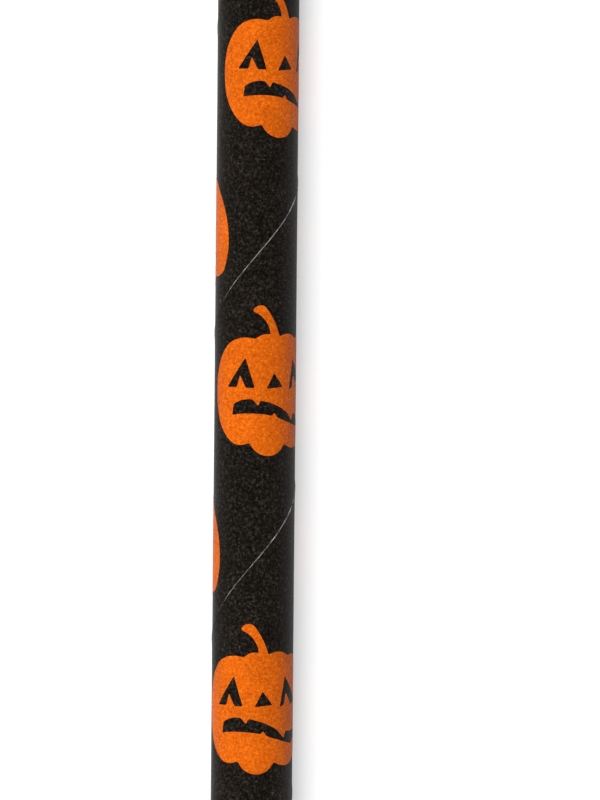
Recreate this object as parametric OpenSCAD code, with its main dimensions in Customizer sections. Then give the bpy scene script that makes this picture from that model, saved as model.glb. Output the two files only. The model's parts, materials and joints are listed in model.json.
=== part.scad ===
/* [Straw] */
// Outside diameter of the straw
outer_d = 6; // [5:0.1:12]
// Thickness of the paper wall, three plies glued together
wall = 0.4; // [0.25:0.05:0.8]
// Length of the straw
straw_len = 197; // [60:1:260]
// Width of the slight flat along the underside, which keeps the straw from rolling
rest_w = 0.8; // [0.7:0.05:1]

/* [Winding] */
// Advance of the wound strip along the straw in one turn
wind_lead = 22.5; // [16:0.25:32]
// Where the seam crosses the top of the straw, from the middle of its length
seam_at = 11.8; // [-16:0.1:16]
// Width of the bare paper edge that shows along the seam of the strip
edge_w = 0.12; // [0.08:0.01:0.25]
// How far that edge stands proud of the paper
edge_t = 0.05; // [0.04:0.01:0.1]

/* [Print] */
// Width of a printed pumpkin, measured round the straw
pumpkin_w = 10.6; // [6:0.05:12]
// Height of a pumpkin along the straw, without its stalk
pumpkin_h = 9; // [5:0.05:9.5]
// Distance along the straw from one pumpkin to the next
pumpkin_pitch = 11.65; // [9:0.05:16]
// Angle round the straw of the pumpkin at its middle, from the top
pumpkin_at = 28.5; // [-180:0.5:180]
// Shift of the faces from the middle of the strip towards the seam
pumpkin_rise = -0.76; // [-1.5:0.01:0.5]
// Thickness of the printed ink film
ink_t = 0.05; // [0.04:0.01:0.1]

/* [Hidden] */
$fn = 96;

outer_r = outer_d / 2;
inner_r = outer_r - wall;
ink_r = outer_r + ink_t;

edge_r = outer_r + edge_t;

// The straw lies on its side, on what stands out furthest
rest_z = max(ink_r, edge_r);
rest_t = outer_r - sqrt(outer_r * outer_r - rest_w * rest_w / 4);

// Width of the bare edge square to the axis, which follows from the slope of the winding
wind_slope = atan(wind_lead / (2 * PI * outer_r));
edge_across = edge_w / sin(wind_slope);
wound_len = straw_len + 2;

// One pumpkin as the printer drew it: rows of x, y and how far the edge to the next
// point bows outwards, counter-clockwise from the notch right of the lowest lobe
body_rows = [
    [0.85, -3.38, 0.58],
    [3.5, -2.75, 0.17],
    [4.7, -2.4, 0.25],
    [5.42, 0.1, 0.32],
    [4.12, 3.6, 0.38],
    [2.2, 4.12, 0.28],
    [0.37, 4.22, 0.13],
    [-0.8, 6.38, 0.22],
    [-1.7, 6, -0.32],
    [-0.35, 4.35, 0.17],
    [-1.45, 4.02, 0.27],
    [-3.62, 3.66, 0.42],
    [-4.92, 0.2, 0.39],
    [-3.5, -3.1, 0.29],
    [-1.85, -3.33, 0.93]
];
left_eye_rows = [
    [-3.65, 0.62, 0],
    [-2.85, 0.6, 0],
    [-2.6, 1.45, 0],
    [-2.15, 0.55, 0],
    [-1.5, 0.55, 0],
    [-2.2, 2.7, 0]
];
right_eye_rows = [
    [1.37, 0.48, 0],
    [1.8, 0.64, 0],
    [2.03, 1.48, 0],
    [2.72, 0.62, 0],
    [3.6, 0.9, 0],
    [1.88, 2.7, 0]
];
nose_rows = [
    [-0.65, 0.5, 0],
    [0.72, 0.65, 0],
    [-0.05, 1.62, 0]
];
mouth_rows = [
    [-3.22, -1.38, -0.13],
    [-0.19, -1.42, 0],
    [0, -1.19, 0],
    [0.22, -1.54, 0.05],
    [2.85, -2.18, 0.08],
    [3.56, -1.35, 0.02],
    [3.34, -1.03, -0.15],
    [2.03, -1.19, 0],
    [1.8, -1.72, 0],
    [1.13, -1.13, 0.1],
    [-1.08, -0.33, 0],
    [-1.25, -0.72, 0],
    [-1.65, -0.26, 0.13],
    [-3.1, -0.6, 0]
];

// Size of the drawing itself, which the printed size is measured against
drawn_w = max([for (row = body_rows) row[0]]) - min([for (row = body_rows) row[0]]);
drawn_h = 8.75;
stalk_top = 6.6;
foot = -4.5;
bow_step = 0.025;

// Points along an edge that bows by b between p and q, without q itself
function bowed(p, q, b) =
    b == 0 ? [p] :
    let (
        d = q - p,
        c = norm(d),
        half = 2 * atan(2 * b / c),
        r = c / 2 / sin(half),
        out = [d[1], -d[0]] / c,
        o = (p + q) / 2 + out * (b - r),
        n = ceil(sqrt(abs(b) / bow_step))
    )
    [for (i = [0 : n - 1])
        let (a = half * (2 * i / n - 1))
        o + r * (out * cos(a) + d / c * sin(a))];

// A closed outline out of such rows, at the printed size
function outline(rows) = [
    for (i = [0 : len(rows) - 1])
        let (
            row = rows[i],
            next = rows[(i + 1) % len(rows)]
        )
        for (pt = bowed([row[0], row[1]], [next[0], next[1]], row[2]))
            [pt[0] * pumpkin_w / drawn_w, pt[1] * pumpkin_h / drawn_h]
];

// Flat place of a point that is wrapped round the straw, seen square on at angle a.
// Past steep degrees the flat place runs on in a straight line, outside what is kept
steep = 60;
function flat_u(x, a) =
    let (t = x / ink_r * 180 / PI - a)
    ink_r * (abs(t) <= steep ? sin(t) : sign(t) * (sin(steep) + (abs(t) - steep) * PI / 180 * cos(steep)));
function flattened(pts, a) = [for (p = pts) [flat_u(p[0], a), p[1]]];

body_pts = outline(body_rows);
hole_sets = [for (rows = [left_eye_rows, right_eye_rows, nose_rows, mouth_rows]) outline(rows)];

// A pumpkin reaches more than half way round, so it is wrapped on in fields that are
// each narrow enough to be seen square on
print_from = min([for (p = body_pts) p[0]]) / ink_r * 180 / PI;
print_to = max([for (p = body_pts) p[0]]) / ink_r * 180 / PI;
fields = ceil((print_to - print_from) / 105);
field_a = (print_to - print_from) / fields;

// Places of the pumpkins: they follow the middle of the strip
pumpkin_turn = 360 * pumpkin_pitch / wind_lead;
strip_mid = seam_at - wind_lead / 2 + wind_lead * pumpkin_at / 360 + pumpkin_rise;
top_reach = stalk_top * pumpkin_h / drawn_h;
foot_reach = foot * pumpkin_h / drawn_h;
first = ceil((-straw_len / 2 - top_reach - strip_mid) / pumpkin_pitch);
last = floor((straw_len / 2 - foot_reach - strip_mid) / pumpkin_pitch);

// Lays the upright straw on its side, along Y, with its top line upwards
module lay_down() {
    translate([0, 0, rest_z])
        rotate([0, -90, -90])
            children();
}

// Thin plate along the seam, wound right through both ends of the straw
module wound_plate() {
    rotate([0, 0, -360 * (seam_at + wound_len / 2) / wind_lead])
        linear_extrude(height = wound_len, center = true, twist = -360 * wound_len / wind_lead,
                slices = ceil(24 * wound_len / wind_lead), segments = 1)
            translate([inner_r, -edge_across / 2])
                square([wall + 2 * edge_t, edge_across]);
}

// Flat field of the print, pushed through the wall at angle a
module pumpkin_prism(a) {
    n = len(body_pts);
    n1 = n + len(hole_sets[0]);
    n2 = n1 + len(hole_sets[1]);
    n3 = n2 + len(hole_sets[2]);
    n4 = n3 + len(hole_sets[3]);
    rotate([0, 0, a])
        rotate([90, 0, 90])
            linear_extrude(height = ink_r + 1)
                polygon(
                    flattened(concat(body_pts, hole_sets[0], hole_sets[1], hole_sets[2], hole_sets[3]), a),
                    [
                        [for (i = [0 : n - 1]) i],
                        [for (i = [n : n1 - 1]) i],
                        [for (i = [n1 : n2 - 1]) i],
                        [for (i = [n2 : n3 - 1]) i],
                        [for (i = [n3 : n4 - 1]) i]
                    ]
                );
}

// Ring of thickness t on the outside of the paper, between two heights
module film(t, low, high) {
    translate([0, 0, low])
        difference() {
            cylinder(h = high - low, r = outer_r + t);
            translate([0, 0, -1])
                cylinder(h = high - low + 2, r = outer_r);
        }
}

// Everything on one side of the plane through the axis at angle a: 0 after it, -1 before it
module half_space(a, side) {
    rotate([0, 0, a])
        translate([-outer_d, side * 2 * outer_d, -straw_len])
            cube([2 * outer_d, 2 * outer_d, 2 * straw_len]);
}

// One pumpkin round the straw, cut off where the straw ends
module pumpkin(z) {
    low = max(foot_reach, -straw_len / 2 - z);
    high = min(top_reach, straw_len / 2 - z);
    translate([0, 0, z])
        for (i = [0 : fields - 1])
            intersection() {
                film(ink_t, low, high);
                pumpkin_prism(print_from + field_a * (i + 0.5));
                if (i > 0) half_space(print_from + field_a * i, 0);
                if (i < fields - 1) half_space(print_from + field_a * (i + 1), -1);
            }
}

module paper_tube() {
    color([0.16, 0.16, 0.16])
        lay_down()
            difference() {
                cylinder(h = straw_len, r = outer_r, center = true);
                cylinder(h = straw_len + 2, r = inner_r, center = true);
                translate([-outer_r - 1, -rest_w, -straw_len / 2 - 1])
                    cube([1 + rest_t, 2 * rest_w, straw_len + 2]);
            }
}

module strip_edge() {
    color([0.55, 0.55, 0.53])
        lay_down()
            intersection() {
                film(edge_t, -straw_len / 2, straw_len / 2);
                wound_plate();
            }
}

module print() {
    color([0.93, 0.42, 0.09])
        lay_down()
            for (k = [first : last])
                rotate([0, 0, pumpkin_at + pumpkin_turn * k])
                    pumpkin(strip_mid + pumpkin_pitch * k);
}

paper_tube();
strip_edge();
print();
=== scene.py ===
import bpy
import bmesh
import json
import math
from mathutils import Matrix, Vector, geometry, noise


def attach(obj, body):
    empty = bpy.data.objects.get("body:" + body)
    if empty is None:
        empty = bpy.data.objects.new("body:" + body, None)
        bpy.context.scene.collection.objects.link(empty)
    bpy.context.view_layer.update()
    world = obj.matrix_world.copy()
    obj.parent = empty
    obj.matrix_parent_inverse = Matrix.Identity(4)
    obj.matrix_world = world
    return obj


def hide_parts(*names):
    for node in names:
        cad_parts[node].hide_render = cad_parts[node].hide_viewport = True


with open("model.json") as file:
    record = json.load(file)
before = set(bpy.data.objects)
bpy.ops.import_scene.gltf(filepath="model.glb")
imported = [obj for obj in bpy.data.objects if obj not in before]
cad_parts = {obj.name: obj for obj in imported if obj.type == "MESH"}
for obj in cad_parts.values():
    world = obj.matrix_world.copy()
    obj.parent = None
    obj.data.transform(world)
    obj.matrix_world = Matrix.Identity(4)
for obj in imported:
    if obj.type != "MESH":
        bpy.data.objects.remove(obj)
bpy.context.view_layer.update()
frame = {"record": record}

MM = 0.001

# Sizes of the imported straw, in millimetres
mounts = {m["name"]: m for m in frame["record"]["mounts"]}
OUTER_R = mounts["outside"]["dims"]["r_mm"]
INNER_R = mounts["bore"]["dims"]["r_mm"]
HALF = mounts["outside"]["dims"]["length_mm"] / 2
AXIS_Z = mounts["outside"]["pos_m"][2] / MM

# Values of the part's source, in millimetres and degrees
REST_W = 0.8
WIND_LEAD = 22.5
SEAM_AT = 11.8
PUMPKIN_W = 10.6
PUMPKIN_H = 9.0
PUMPKIN_PITCH = 11.65
PUMPKIN_AT = 28.5
PUMPKIN_RISE = -0.76
INK_T = 0.05
DRAWN_W = 10.34
DRAWN_H = 8.75
STALK_TOP = 6.6
FOOT = -4.5


def wind_slope(r):
    """Angle between the seam and the straw's cross-section, at radius r."""
    return math.atan2(WIND_LEAD, 2 * math.pi * r)


SLOPE = wind_slope(OUTER_R)
STRIP_W = WIND_LEAD * math.cos(SLOPE)
REST_R = math.sqrt(OUTER_R ** 2 - REST_W ** 2 / 4)  # from the axis down to the flat


def seam_y(theta, seam=SEAM_AT):
    """Place along the straw of a seam that crosses the top at y = seam, wound on by theta."""
    return seam + WIND_LEAD * theta / (2 * math.pi)


def place(theta, y, r):
    """Point in metres at theta from the top towards +X, y along the straw and r from its axis."""
    return Vector((r * math.sin(theta) * MM, y * MM, (AXIS_Z + r * math.cos(theta)) * MM))


def wobble(p, size, seed):
    """Smooth noise from -1 to 1 at point p, with features of about size millimetres."""
    return noise.noise(p * (1000 / size) + Vector((seed * 17.3, seed * 5.1, seed * 9.7)))


def uneven(p, *waves):
    """Unevenness at point p: each wave is its height and size in millimetres, and a seed."""
    return sum(height * wobble(p, size, seed) for height, size, seed in waves)


def cut_ends(bm, at):
    """Cut off what lies beyond at millimetres from the middle, on both sides."""
    for side in (1, -1):
        bmesh.ops.bisect_plane(bm, geom=bm.verts[:] + bm.edges[:] + bm.faces[:], dist=1e-9,
                               plane_co=(0, side * at * MM, 0), plane_no=(0, side, 0),
                               clear_outer=True)


SHARP = 0.7  # radians between two faces, above which the edge between them stays crisp


def make(name, bm, materials):
    """A piece out of the mesh, smooth but for its sharp edges."""
    for edge in bm.edges:
        if len(edge.link_faces) == 2 and edge.calc_face_angle(0) > SHARP:
            edge.smooth = False
    mesh = bpy.data.meshes.new(name)
    bm.to_mesh(mesh)
    bm.free()
    ob = bpy.data.objects.new(name, mesh)
    bpy.context.scene.collection.objects.link(ob)
    for material in materials:
        mesh.materials.append(material)
    for face in mesh.polygons:
        face.use_smooth = True
    return ob


# ---------------------------------------------------------------- node trees
class Nodes:
    """Short hand for a node tree. Values are numbers, colours or outputs of other nodes."""

    def __init__(self, tree):
        self.tree = tree

    def new(self, kind, **settings):
        node = self.tree.nodes.new(kind)
        for key, value in settings.items():
            setattr(node, key, value)
        return node

    def put(self, socket, value):
        """Set a socket to a value, or link it to another node's output."""
        if isinstance(value, bpy.types.NodeSocket):
            self.tree.links.new(value, socket)
        elif isinstance(value, tuple):
            socket.default_value = (*value, 1)
        else:
            socket.default_value = value

    def math(self, operation, a, b):
        node = self.new("ShaderNodeMath", operation=operation)
        self.put(node.inputs[0], a)
        self.put(node.inputs[1], b)
        return node.outputs[0]

    def mix(self, factor, a, b, kind="MIX"):
        node = self.new("ShaderNodeMix", data_type="RGBA", blend_type=kind)
        # a mix node has sockets for every data type: these are the factor and the two colours
        self.put(node.inputs[0], factor)
        self.put(node.inputs[6], a)
        self.put(node.inputs[7], b)
        return node.outputs[2]

    def spread(self, value, low, high, from_low=0.0, from_high=1.0):
        """Map a value between from_low and from_high to one between low and high."""
        node = self.new("ShaderNodeMapRange")
        for name, number in (("Value", value), ("From Min", from_low), ("From Max", from_high),
                             ("To Min", low), ("To Max", high)):
            self.put(node.inputs[name], number)
        return node.outputs["Result"]

    def seen(self):
        """1 where the camera sees the surface, also through glass or in a mirror, or else 0."""
        rays = self.new("ShaderNodeLightPath").outputs
        direct = self.math("MAXIMUM", rays["Is Camera Ray"], rays["Is Glossy Ray"])
        return self.math("MAXIMUM", direct, rays["Is Transmission Ray"])


class Finish(Nodes):
    """The nodes of a material whose textures are fixed to the piece, sizes in millimetres."""

    def __init__(self, name):
        self.material = bpy.data.materials.new(name)
        self.material.use_nodes = True
        super().__init__(self.material.node_tree)
        self.surface = self.tree.nodes["Principled BSDF"].inputs
        self.coords = self.new("ShaderNodeTexCoord").outputs["Object"]

    def noise(self, size, detail=2.0, roughness=0.5, stretch=None):
        at = self.coords
        if stretch:
            mapping = self.new("ShaderNodeMapping")
            mapping.inputs["Scale"].default_value = stretch
            self.put(mapping.inputs["Vector"], at)
            at = mapping.outputs["Vector"]
        node = self.new("ShaderNodeTexNoise")
        for name, value in (("Scale", 1000 / size), ("Detail", detail),
                            ("Roughness", roughness), ("Vector", at)):
            self.put(node.inputs[name], value)
        return node.outputs["Fac"]

    def ramp(self, factor, *stops):
        """Colour or grey by factor: each stop is a position and what it has there."""
        node = self.new("ShaderNodeValToRGB")
        node.color_ramp.interpolation = "EASE"
        elements = node.color_ramp.elements
        while len(elements) < len(stops):
            elements.new(0.5)
        for element, (position, value) in zip(elements, stops):
            element.position = position
            element.color = (*value, 1) if isinstance(value, tuple) else (value, value, value, 1)
        self.put(node.inputs["Fac"], factor)
        return node.outputs["Color"]

    def times(self, a, b):
        return self.mix(1.0, a, b, "MULTIPLY")

    def specks(self, size, low, high, rare):
        """Sparse short fibres: the crests of a fine noise, where a coarser one is high."""
        crests = self.ramp(self.noise(size, 1.0, 0.4, stretch=(1.0, 0.55, 1.0)),
                           (low, 0.0), (high, 1.0))
        where = self.ramp(self.noise(size * 5.5, 1.0), (rare, 0.0), (rare + 0.07, 1.0))
        return self.times(crests, where)

    def bump(self, height, distance):
        node = self.new("ShaderNodeBump")
        self.put(node.inputs["Distance"], distance * MM)
        self.put(node.inputs["Strength"], 1.0)
        self.put(node.inputs["Height"], height)
        self.put(self.surface["Normal"], node.outputs["Normal"])

    def fibres(self, coarse, fine, distance):
        """Relief of matted fibres, and the soft bloom that they give at a grazing angle."""
        self.bump(self.math("ADD", self.math("MULTIPLY", coarse, 0.6),
                            self.math("MULTIPLY", fine, 0.4)), distance)
        self.put(self.surface["Sheen Weight"], 0.285)
        self.put(self.surface["Sheen Roughness"], 0.42)


# ---------------------------------------------------------------- materials
def charcoal_paper():
    f = Finish("charcoal_paper")
    coarse = f.noise(0.22, 3.0, 0.72)
    fine = f.noise(0.10, 2.0, 0.65)
    cloud = f.noise(1.9, 2.0, 0.5)
    base = f.ramp(coarse, (0.36, (0.0024, 0.0014, 0.0008)), (0.50, (0.0101, 0.0075, 0.0053)),
                  (0.66, (0.0334, 0.0278, 0.0222)))
    base = f.times(base, f.ramp(fine, (0.33, 0.36), (0.67, 1.68)))
    base = f.times(base, f.ramp(cloud, (0.3, 0.82), (0.7, 1.15)))
    base = f.mix(f.specks(0.15, 0.645, 0.74, 0.60), base, (0.067, 0.065, 0.060))
    f.put(f.surface["Base Color"], base)
    f.put(f.surface["Roughness"], f.ramp(fine, (0.3, 0.62), (0.7, 0.80)))
    f.put(f.surface["Specular IOR Level"], 0.015)
    f.fibres(coarse, fine, 0.03)
    return f.material


def orange_ink():
    f = Finish("orange_ink")
    coarse = f.noise(0.21, 3.0, 0.7)
    fine = f.noise(0.085, 2.0, 0.6)
    cloud = f.noise(2.6, 2.0, 0.5)
    base = f.ramp(coarse, (0.30, (0.57, 0.083, 0.0008)), (0.5, (0.785, 0.136, 0.0032)),
                  (0.70, (1.0, 0.216, 0.0095)))
    base = f.times(base, f.ramp(cloud, (0.3, 0.93), (0.7, 1.07)))
    base = f.times(base, f.ramp(f.noise(0.12, 2.0, 0.65), (0.34, 0.86), (0.66, 1.12)))
    base = f.mix(f.specks(0.12, 0.67, 0.77, 0.60), base, (0.95, 0.30, 0.06))
    f.put(f.surface["Base Color"], base)
    f.put(f.surface["Roughness"], f.ramp(fine, (0.3, 0.52), (0.7, 0.70)))
    f.put(f.surface["Specular IOR Level"], 0.02)
    f.fibres(coarse, fine, 0.025)
    return f.material


def bare_edge():
    f = Finish("bare_paper_edge")
    along = f.noise(0.55, 2.0, 0.65)
    fine = f.noise(0.08, 2.0, 0.6)
    base = f.ramp(along, (0.34, (0.085, 0.082, 0.077)), (0.50, (0.23, 0.225, 0.216)),
                  (0.66, (0.46, 0.455, 0.44)))
    f.put(f.surface["Base Color"], base)
    f.put(f.surface["Roughness"], f.ramp(fine, (0.3, 0.78), (0.7, 0.92)))
    f.put(f.surface["Specular IOR Level"], 0.2)
    f.bump(fine, 0.02)
    return f.material


def white_paper():
    f = Finish("white_paper_inside")
    coarse = f.noise(0.35, 3.0, 0.6)
    fine = f.noise(0.09, 2.0, 0.6, stretch=(1.0, 0.5, 1.0))
    base = f.ramp(coarse, (0.3, (0.60, 0.575, 0.52)), (0.7, (0.78, 0.76, 0.70)))
    f.put(f.surface["Base Color"], base)
    f.put(f.surface["Roughness"], f.ramp(fine, (0.3, 0.80), (0.7, 0.93)))
    f.put(f.surface["Specular IOR Level"], 0.25)
    f.bump(fine, 0.02)
    return f.material


# ---------------------------------------------------------------- the wound tube
LIFT = 0.038        # how far the strip's edge stands up at the seam, and over what width
LIFT_W = 0.35
DIP = 0.010         # how far the next turn sinks beside it
DIP_W = 0.12
UNDERSIDE = 0.98    # the flat is cut where straight down has this cosine or more
BUTT_W = 0.10       # the joint between the edges of the inmost strip, in the bore
BUTT_T = 0.07
SOFT = 0.03         # roundness of the outer corner at the cut
SKIN, CUT = 0, 1    # material slots of the tube: the charcoal outside, the white inside


def lift(p):
    """How far the strip's edge stands up near point p on the seam."""
    return LIFT + uneven(p, (0.006, 1.3, 7))


def skin_r(theta, y, v):
    """Radius of the paper skin, v millimetres into the strip from the seam on its -Y side."""
    p = place(theta, y, OUTER_R)
    r = OUTER_R + uneven(p, (0.006, 1.6, 1), (0.004, 0.5, 2))
    if v < STRIP_W / 2:
        r -= DIP * math.exp(-v / DIP_W)
    else:
        r += lift(p) * math.exp((v - STRIP_W) / LIFT_W)
    down = -math.cos(theta)
    if down > UNDERSIDE:
        r = min(r, REST_R / down)
    return r


def bore_r(theta, y, v):
    """Radius of the bore, v millimetres from the middle of its butt joint."""
    r = INNER_R + uneven(place(theta, y, INNER_R), (0.004, 1.4, 3))
    return r + (BUTT_T if abs(v) < BUTT_W / 2 else 0.0)


def wound(bm, r0, seam, columns, turn, radius, slot):
    """A face of the tube as its strip is wound, with turn rows of points to a turn.

    A row has a point at each of the columns, which are millimetres from the seam, square to it.
    """
    along = math.cos(wind_slope(r0))
    first = math.floor((-HALF - seam) / WIND_LEAD * turn) - turn - 2
    last = math.ceil((HALF - seam) / WIND_LEAD * turn) + 2
    rows = []
    for k in range(first, last + 1):
        theta = 2 * math.pi * k / turn
        row = []
        for v in columns:
            y = seam_y(theta, seam) + v / along
            row.append(bm.verts.new(place(theta, y, radius(theta, y, v))))
        rows.append(row)
    for a, b in zip(rows, rows[1:]):
        for i in range(len(columns) - 1):
            bm.faces.new((a[i], a[i + 1], b[i + 1], b[i])).material_index = slot
    # across the seam, from the last column of a turn to the first of the next
    for k in range(len(rows) - turn - 1):
        corners = (rows[k][-1], rows[k + turn][0], rows[k + turn + 1][0], rows[k + 1][-1])
        bm.faces.new(corners).material_index = slot


def close_end(bm, side):
    """The cut at one end, from the skin's rim to the bore's: three plies, slightly frayed."""
    def on_cut(edge):
        return all(abs(v.co.y - side * (HALF - SOFT) * MM) < 1e-7 for v in edge.verts)

    def outside(edge):
        co = edge.verts[0].co
        return math.hypot(co.x, co.z - AXIS_Z * MM) > (INNER_R + OUTER_R) / 2 * MM

    rim = [e for e in bm.edges if e.is_boundary and on_cut(e)]
    outer = [e for e in rim if outside(e)]
    mouth = [e for e in rim if not outside(e)]
    # rings of points: how deep under the skin, and how far back from the cut
    steps = [(SOFT, 0.0), (0.10, 0.0), (0.128, 0.025), (0.155, 0.0), (0.235, 0.0), (0.262, 0.025),
             (0.29, 0.0), (0.32, 0.0), (0.38, 0.006)]
    n = 128
    rings = []
    for j, (deep, back) in enumerate(steps):
        r = OUTER_R - deep
        ring = []
        for i in range(n):
            theta = 2 * math.pi * i / n
            fray = 0.0
            if 0 < j < len(steps) - 1:
                fray = 0.006 + uneven(place(theta, side * HALF, r), (0.006, 0.25, 4 + side))
            ring.append(bm.verts.new(place(theta, side * (HALF - back - fray), r)))
        rings.append(ring)
    corner = [bm.edges.new((rings[0][i], rings[0][(i + 1) % n])) for i in range(n)]
    bmesh.ops.bridge_loops(bm, edges=outer + corner)
    for a, b in zip(rings, rings[1:]):
        for i in range(n):
            corners = (a[i], a[(i + 1) % n], b[(i + 1) % n], b[i])
            bm.faces.new(corners).material_index = CUT
    inmost = [e for e in bm.edges if e.is_boundary and all(v in rings[-1] for v in e.verts)]
    for face in bmesh.ops.bridge_loops(bm, edges=mouth + inmost)["faces"]:
        face.material_index = CUT


def build_tube():
    bm = bmesh.new()
    # columns are close at the seam and even between
    near = [0.02, 0.07, 0.15, 0.3, 0.55]
    even = [near[-1] + (STRIP_W - 2 * near[-1]) * i / 15 for i in range(1, 15)]
    columns = near + even + [STRIP_W - v for v in reversed(near)]
    wound(bm, OUTER_R, SEAM_AT, columns, 120, skin_r, SKIN)
    inner_w = WIND_LEAD * math.cos(wind_slope(INNER_R))
    columns = [-0.06, -0.045, 0.045, 0.06, 0.4]
    columns += [0.4 + (inner_w - 0.8) * i / 7 for i in range(1, 8)]
    # the inmost strip is wound about a third of a turn behind the outer one
    wound(bm, INNER_R, SEAM_AT - WIND_LEAD * 0.36, columns, 72, bore_r, CUT)
    cut_ends(bm, HALF - SOFT)
    for side in (1, -1):
        close_end(bm, side)
    bmesh.ops.recalc_face_normals(bm, faces=bm.faces[:])
    return make("straw_paper", bm, [charcoal_paper(), white_paper()])


# ---------------------------------------------------------------- the bare edge along the seam
def build_edge():
    bm = bmesh.new()
    step = math.radians(2.5)
    first = math.floor((-HALF - SEAM_AT) / WIND_LEAD * 2 * math.pi / step) - 2
    last = math.ceil((HALF - SEAM_AT) / WIND_LEAD * 2 * math.pi / step) + 2
    before = None
    for k in range(first, last + 1):
        turned = k * step
        at = place(turned, seam_y(turned), OUTER_R)
        # the ridge's two sides, in millimetres from the seam and square to it
        high = -0.030 + uneven(at, (0.007, 0.7, 8))
        low = 0.036 + uneven(at, (0.016, 0.9, 5), (0.010, 0.3, 6))
        crest = lift(at) + 0.002
        ring = []
        for v, up in ((high, -0.03), (high, crest), (low, -0.006), (low, -0.03)):
            theta = turned - v * math.sin(SLOPE) / OUTER_R
            y = seam_y(turned) + v * math.cos(SLOPE)
            ring.append(bm.verts.new(place(theta, y, OUTER_R + up)))
        if before:
            for i in range(len(ring)):
                j = (i + 1) % len(ring)
                bm.faces.new((before[i], before[j], ring[j], ring[i]))
        before = ring
    cut_ends(bm, HALF - 0.01)  # just short of the cut
    bmesh.ops.holes_fill(bm, edges=[e for e in bm.edges if e.is_boundary], sides=0)
    bmesh.ops.recalc_face_normals(bm, faces=bm.faces[:])
    return make("seam_edge", bm, [bare_edge()])


# ---------------------------------------------------------------- the print
# Rows of x, y and how far the edge to the next point bows outwards, in millimetres, as the part's
# source has them, but for the three points at the far right: there the outline lies up to 0.2 mm
# further in, and at its lower end up to 0.1 mm further out
BODY = [(0.85, -3.38, 0.58), (3.5, -2.75, 0.17), (4.8, -2.45, 0.19), (5.3, 0.1, 0.30),
        (3.95, 3.56, 0.38), (2.2, 4.12, 0.28), (0.37, 4.22, 0.13), (-0.8, 6.38, 0.22),
        (-1.7, 6, -0.32), (-0.35, 4.35, 0.17), (-1.45, 4.02, 0.27), (-3.62, 3.66, 0.42),
        (-4.92, 0.2, 0.39), (-3.5, -3.1, 0.29), (-1.85, -3.33, 0.93)]
LEFT_EYE = [(-3.65, 0.62, 0), (-2.85, 0.6, 0), (-2.6, 1.45, 0), (-2.15, 0.55, 0), (-1.5, 0.55, 0),
            (-2.2, 2.7, 0)]
RIGHT_EYE = [(1.37, 0.48, 0), (1.8, 0.64, 0), (2.03, 1.48, 0), (2.72, 0.62, 0), (3.6, 0.9, 0),
             (1.88, 2.7, 0)]
NOSE = [(-0.65, 0.5, 0), (0.72, 0.65, 0), (-0.05, 1.62, 0)]
MOUTH = [(-3.22, -1.38, -0.13), (-0.19, -1.42, 0), (0, -1.19, 0), (0.22, -1.54, 0.05),
         (2.85, -2.18, 0.08), (3.56, -1.35, 0.02), (3.34, -1.03, -0.15), (2.03, -1.19, 0),
         (1.8, -1.72, 0), (1.13, -1.13, 0.1), (-1.08, -0.33, 0), (-1.25, -0.72, 0),
         (-1.65, -0.26, 0.13), (-3.1, -0.6, 0)]
POINT_EVERY = 0.11  # along an outline
GRID = 0.27         # between the points that fill it
KEEP_OFF = 0.012    # square of the distance that these keep from the outline
INK_UP = 0.014      # from the paper up to the ink's face
INK_SIDE = 0.024    # height of the ink's side, which ends inside the paper


def bowed(p, q, bow):
    """Points from p up to, but without, q, on a line or on an arc that bows to its right."""
    d = q - p
    chord = d.length
    n = max(2, math.ceil(chord / POINT_EVERY))
    if bow == 0:
        return [p + d * (j / n) for j in range(n)]
    half = 2 * math.atan(2 * bow / chord)
    r = chord / 2 / math.sin(half)
    out = Vector((d.y, -d.x)) / chord
    centre = (p + q) / 2 + out * (bow - r)
    angles = [half * (2 * j / n - 1) for j in range(n)]
    return [centre + r * (out * math.cos(a) + d / chord * math.sin(a)) for a in angles]


def outline(rows, soften):
    """The closed outline of such rows, with its corners softened as ink does."""
    pts = []
    for (x, y, bow), after in zip(rows, rows[1:] + rows[:1]):
        pts += bowed(Vector((x, y)), Vector(after[:2]), bow)
    for _ in range(soften):
        pts = [(pts[j - 1] + pts[j] * 2 + pts[(j + 1) % len(pts)]) / 4 for j in range(len(pts))]
    return pts


def inside(p, loop):
    """Whether p lies inside the loop, which a line from p then crosses an odd number of times."""
    hit = False
    for a, b in zip(loop, loop[-1:] + loop[:-1]):
        if (a.y > p.y) != (b.y > p.y) and p.x < (b.x - a.x) * (p.y - a.y) / (b.y - a.y) + a.x:
            hit = not hit
    return hit


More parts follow.
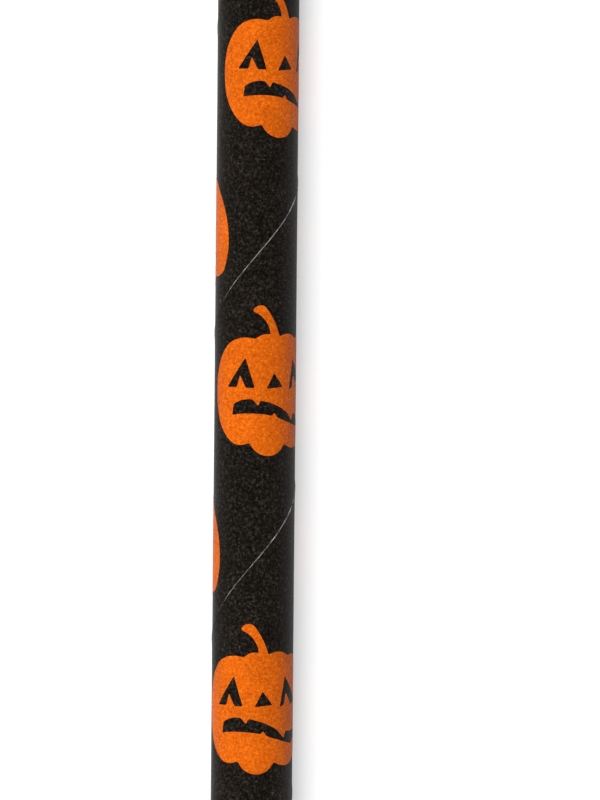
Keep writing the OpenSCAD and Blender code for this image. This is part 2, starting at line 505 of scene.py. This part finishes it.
def flat_pumpkin():
    """Triangles of one flat pumpkin with its face left out: its points, and index triples."""
    body = outline(BODY, 2)
    holes = [outline(rows, 1) for rows in (LEFT_EYE, RIGHT_EYE, NOSE, MOUTH)]
    pts, edges = [], []
    for loop in [body] + holes:
        base = len(pts)
        pts += loop
        edges += [(base + j, base + (j + 1) % len(loop)) for j in range(len(loop))]
    drawn = pts[:]
    # a grid of points inside the body, so that the triangles follow the straw's curve
    left, right, low, high = -5.1, 5.6, -4.6, 6.8
    row = GRID * 0.9  # between the grid's rows, each of which is shifted by half a step
    for i in range(int((right - left) / GRID) + 1):
        for j in range(int((high - low) / row) + 1):
            p = Vector((left + i * GRID + (GRID / 2 if j % 2 else 0), low + j * row))
            if min((q - p).length_squared for q in drawn) > KEEP_OFF and inside(p, body):
                pts.append(p)
    pts, _, faces, _, _, _ = geometry.delaunay_2d_cdt(pts, edges, [], 0, 1e-6)
    tris = []
    for tri in faces:
        middle = sum((pts[i] for i in tri), Vector((0, 0))) / 3
        if inside(middle, body) and not any(inside(middle, hole) for hole in holes):
            tris.append(tuple(tri))
    # to the printed size, which is measured on the outside of the source's ink film
    wide = PUMPKIN_W / DRAWN_W * OUTER_R / (OUTER_R + INK_T)
    return [Vector((p.x * wide, p.y * PUMPKIN_H / DRAWN_H)) for p in pts], tris


def on_paper(p, turned, mid):
    """Where a point of the flat pumpkin lies on the straw, with the ink's slight unevenness."""
    x, y = p
    at = place(turned + x / OUTER_R, mid + y, OUTER_R)
    x += uneven(at, (0.010, 0.35, 9), (0.006, 0.14, 10))
    y += uneven(at, (0.010, 0.35, 11), (0.006, 0.14, 12))
    theta = turned + x / OUTER_R
    # anywhere in the middle of the strip will do, as the print keeps well away from the seam
    return place(theta, mid + y, skin_r(theta, mid + y, STRIP_W / 3) + INK_UP)


def build_print():
    pts, tris = flat_pumpkin()
    used = sorted({i for tri in tris for i in tri})
    bm = bmesh.new()
    # the pumpkins follow the middle of the strip
    strip_mid = seam_y(math.radians(PUMPKIN_AT)) - WIND_LEAD / 2 + PUMPKIN_RISE
    top_reach = STALK_TOP * PUMPKIN_H / DRAWN_H
    foot_reach = FOOT * PUMPKIN_H / DRAWN_H
    first = math.ceil((-HALF - top_reach - strip_mid) / PUMPKIN_PITCH)
    last = math.floor((HALF - foot_reach - strip_mid) / PUMPKIN_PITCH)
    for k in range(first, last + 1):
        turned = math.radians(PUMPKIN_AT) + 2 * math.pi * PUMPKIN_PITCH / WIND_LEAD * k
        mid = strip_mid + PUMPKIN_PITCH * k
        verts = {i: bm.verts.new(on_paper(pts[i], turned, mid)) for i in used}
        for tri in tris:
            bm.faces.new([verts[i] for i in tri])
    cut_ends(bm, HALF - SOFT - 0.005)  # just short of the softened corner
    bm.normal_update()
    # the film's thin side
    rim = [e for e in bm.edges if e.is_boundary]
    side = bmesh.ops.extrude_edge_only(bm, edges=rim)["geom"]
    for v in [g for g in side if isinstance(g, bmesh.types.BMVert)]:
        x, z = v.co.x, v.co.z - AXIS_Z * MM
        r = math.hypot(x, z)
        inwards = (r - INK_SIDE * MM) / r
        v.co.x, v.co.z = x * inwards, z * inwards + AXIS_Z * MM
    return make("pumpkin_print", bm, [orange_ink()])


for piece, node, slot in ((build_tube(), "paper_tube", "paper"),
                          (build_edge(), "strip_edge", "bare_edge"),
                          (build_print(), "print", "ink")):
    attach(piece, "root")
    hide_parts(node)


# ---------------------------------------------------------------- floor, light and camera
def grey(level):
    return (level, level, level)


def build_floor():
    """A floor that is white to the camera but for the straw's shadow, and duller to the straw."""
    reach = 4.0
    bm = bmesh.new()
    corners = ((-reach, -reach), (reach, -reach), (reach, reach), (-reach, reach))
    bm.faces.new([bm.verts.new((x, y, 0)) for x, y in corners])
    material = bpy.data.materials.new("floor_white")
    material.use_nodes = True
    n = Nodes(material.node_tree)
    n.tree.nodes.remove(n.tree.nodes["Principled BSDF"])
    camera_ray = n.new("ShaderNodeLightPath").outputs["Is Camera Ray"]
    diffuse = n.new("ShaderNodeBsdfDiffuse")
    n.put(diffuse.inputs["Color"], n.mix(camera_ray, grey(0.42), grey(0.80)))
    # brighter away from the straw, where the lamps no longer reach
    far = n.new("ShaderNodeVectorMath", operation="LENGTH")
    n.put(far.inputs[0], n.new("ShaderNodeNewGeometry").outputs["Position"])
    glow = n.new("ShaderNodeEmission")
    fade = n.spread(far.outputs["Value"], 0.45, 1.0, from_low=0.12, from_high=0.60)
    n.put(glow.inputs["Strength"], n.math("MULTIPLY", n.seen(), fade))
    both = n.new("ShaderNodeAddShader")
    n.put(both.inputs[0], diffuse.outputs[0])
    n.put(both.inputs[1], glow.outputs[0])
    n.put(n.tree.nodes["Material Output"].inputs["Surface"], both.outputs[0])
    make("floor", bm, [material])


def build_world():
    """White to the camera, and a dull even light to the straw."""
    world = bpy.data.worlds.new("studio")
    bpy.context.scene.world = world
    world.use_nodes = True
    n = Nodes(world.node_tree)
    background = n.tree.nodes["Background"].inputs
    n.put(background["Color"], grey(1.0))
    n.put(background["Strength"], n.spread(n.seen(), 0.29, 1.0))


def lamp(name, at, size, power):
    """A square lamp at a place in metres, turned towards the straw."""
    light = bpy.data.lights.new(name, "AREA")
    light.shape = "SQUARE"
    light.size = size
    light.energy = power
    ob = bpy.data.objects.new(name, light)
    ob.location = at
    ob.rotation_euler = (-Vector(at)).to_track_quat("-Z", "Y").to_euler()
    bpy.context.scene.collection.objects.link(ob)


def build_camera():
    """The photograph's view, straight down on the straw, with its stalk end at the top."""
    photo_w, photo_h = 600, 800
    px_mm = 13.55       # pixels to a millimetre, at the height of the straw's axis
    axis_px = 255.0     # where that axis crosses the middle row
    far = 333.5         # from the camera down to the axis, in millimetres
    along = 1.26        # the camera's place along the straw, in millimetres
    lean = 0.0095       # turned about the straw's axis and about the view's, in radians
    roll = 0.0094
    camera = bpy.data.cameras.new("camera")
    camera.sensor_fit = "VERTICAL"
    camera.sensor_height = 24.0
    camera.lens = camera.sensor_height * far * px_mm / photo_h
    ob = bpy.data.objects.new("camera", camera)
    across = (photo_w / 2 - axis_px) / px_mm - far * math.tan(lean)
    ob.location = (across * MM, along * MM, (AXIS_Z + far) * MM)
    ob.rotation_euler = (0, -lean, roll)
    bpy.context.scene.collection.objects.link(ob)
    bpy.context.scene.camera = ob


build_floor()
build_world()
lamp("key", (-0.45, 0.10, 1.25), 0.9, 14.5)
lamp("side", (-1.2, -0.3, 0.35), 0.7, 2.2)
build_camera()
bpy.context.scene.view_settings.view_transform = "Standard"
